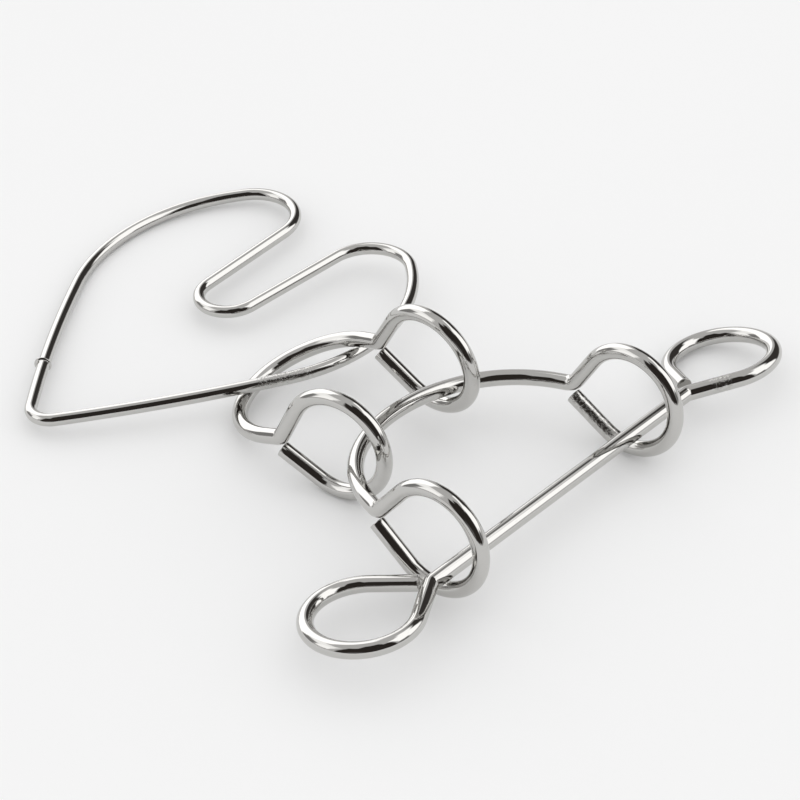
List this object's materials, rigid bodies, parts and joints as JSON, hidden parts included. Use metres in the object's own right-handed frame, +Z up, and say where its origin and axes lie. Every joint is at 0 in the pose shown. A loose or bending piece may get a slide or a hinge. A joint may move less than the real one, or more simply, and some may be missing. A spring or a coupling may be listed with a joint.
{
  "type": "wire disentanglement puzzle",
  "caption": "Linked bent-wire disentanglement puzzle: a heart-shaped loop hung on a small eyed shackle, which hangs on a larger shackle closed by a cross bar with looped ends.",
  "frame": {"origin": "on the table plane, under the middle of the puzzle's bounding box as it lies", "axes": "+X the way the shackles open, from the heart towards the cross bar; +Y along the cross bar; +Z up from the table"},
  "size_m": [0.1283, 0.1222, 0.0258],
  "materials": {
    "heart_loop": "polished nickel plate",
    "small_shackle": "polished nickel plate",
    "large_shackle": "polished nickel plate",
    "cross_bar": "polished nickel plate"
  },
  "bodies": {
    "large_shackle": {"large_shackle": "large_shackle"},
    "small_shackle": {"small_shackle": "small_shackle"},
    "heart_loop": {"heart_loop": "heart_loop"},
    "cross_bar": {"cross_bar": "cross_bar"}
  },
  "joints": [
    {"name": "cross_bar_spin", "type": "hinge", "parent": "large_shackle", "child": "cross_bar", "pos_m": [0.05535, -0.0003, 0.0066], "axis": [-0.0087, 0.9995, -0.0297], "continuous": true},
    {"name": "small_shackle_swing", "type": "hinge", "parent": "large_shackle", "child": "small_shackle", "pos_m": [0.02472, -0.00897, 0.00989], "axis": [-0.0981, 0.9927, -0.0695], "range_deg": [-20, 75]},
    {"name": "heart_swing", "type": "hinge", "parent": "small_shackle", "child": "heart_loop", "pos_m": [-0.00736, -0.0168, 0.0055], "axis": [0.425, 0.9042, 0.0432], "range_deg": [-25, 90]}
  ]
}
